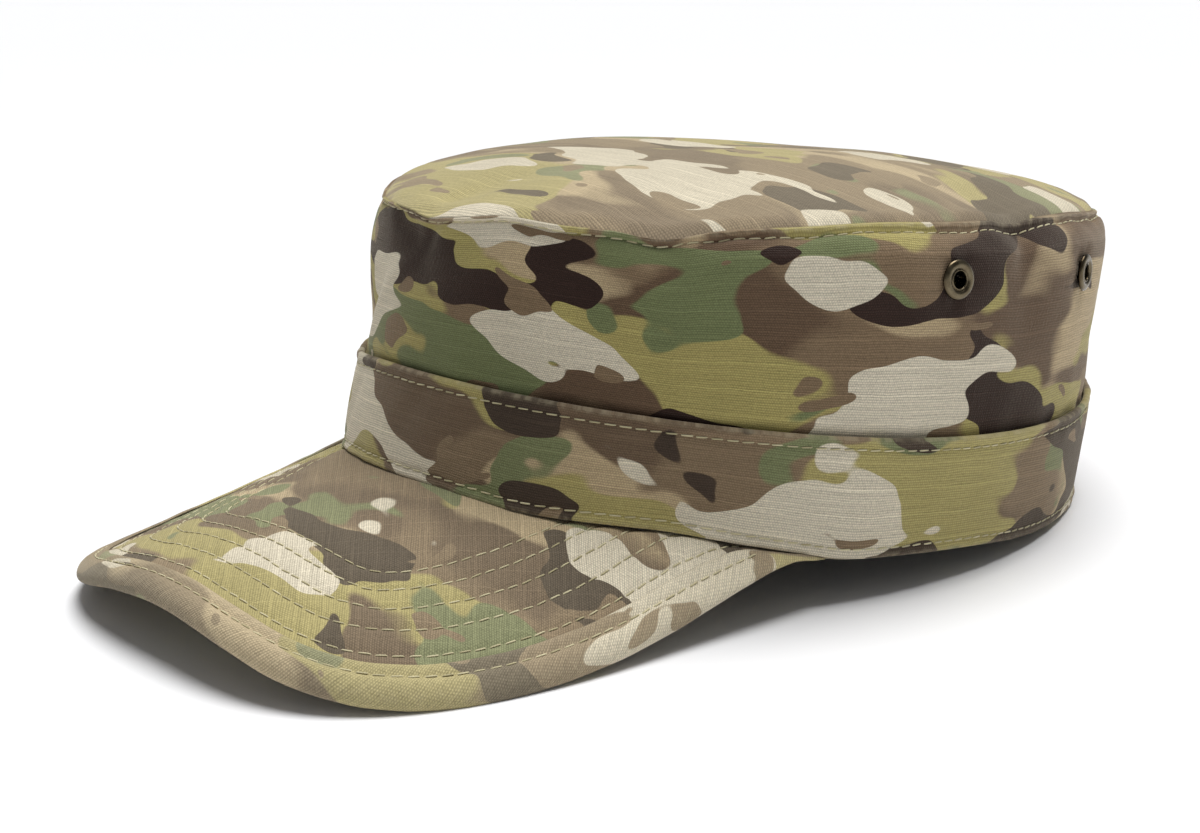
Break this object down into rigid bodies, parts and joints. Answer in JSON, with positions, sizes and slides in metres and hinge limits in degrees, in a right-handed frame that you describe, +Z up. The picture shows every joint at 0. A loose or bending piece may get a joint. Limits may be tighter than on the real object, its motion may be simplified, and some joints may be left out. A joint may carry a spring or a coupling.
{
  "type": "patrol cap",
  "caption": "Soft camouflage field cap with a round flat-topped crown, a doubled band, vent eyelets and a curved stitched visor.",
  "frame": {"origin": "middle of the cap's bounding box on the surface that it lies on", "axes": "+Z up, -Y out over the visor, +X towards the wearer's left"},
  "size_m": [0.1796, 0.2902, 0.094],
  "materials": {
    "crown_cloth": "camouflage-printed ripstop cotton, matt",
    "visor_cloth": "camouflage-printed ripstop over a stiffener, stitched in rows",
    "bias_tape": "bias-cut printed cloth folded over the edge",
    "sweatband_cloth": "plain woven khaki cotton",
    "antique_brass": "dark antique brass, rolled"
  },
  "bodies": {
    "root": {"top_panel": "crown_cloth", "side_wall": "crown_cloth", "band": "crown_cloth", "sweatband": "sweatband_cloth", "visor": "visor_cloth", "visor_binding": "bias_tape", "eyelet_left_front": "antique_brass", "eyelet_left_back": "antique_brass", "eyelet_right_front": "antique_brass", "eyelet_right_back": "antique_brass"}
  },
  "joints": []
}
